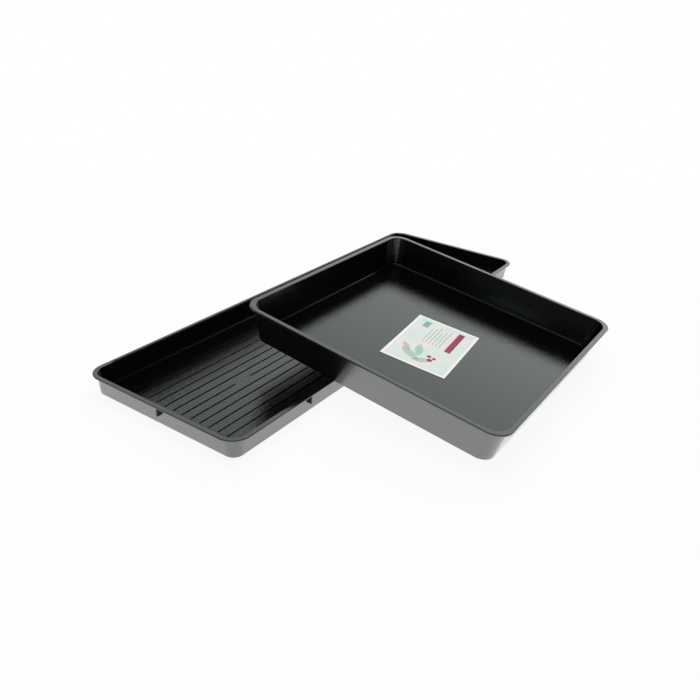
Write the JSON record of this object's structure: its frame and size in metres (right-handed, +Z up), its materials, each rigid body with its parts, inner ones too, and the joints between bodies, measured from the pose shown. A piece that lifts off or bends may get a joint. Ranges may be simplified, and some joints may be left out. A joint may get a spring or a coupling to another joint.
{
  "type": "plant growing tray set",
  "caption": "Long shallow ribbed plant tray with a deeper square tray leaning on its rim, both black moulded plastic with flat out-turned rims; the square tray lifts off.",
  "frame": {"origin": "middle of the long tray's flat underside, on the ground", "axes": "+X along the long tray, +Y across it away from the square tray, +Z up"},
  "size_m": [1.15, 0.7562, 0.1521],
  "materials": {
    "long_tray_plastic": "satin black with a fine moulded grain",
    "square_tray_plastic": "satin black with a fine moulded grain",
    "label_paper": "coated printed paper"
  },
  "bodies": {
    "long_tray": {"long_tray": "long_tray_plastic"},
    "square_tray": {"square_tray": "square_tray_plastic", "label": "label_paper"}
  },
  "joints": [
    {"name": "square_tray_lift", "type": "slide", "parent": "long_tray", "child": "square_tray", "axis": [0, 0, 1], "range_m": [0, 0.15]}
  ]
}
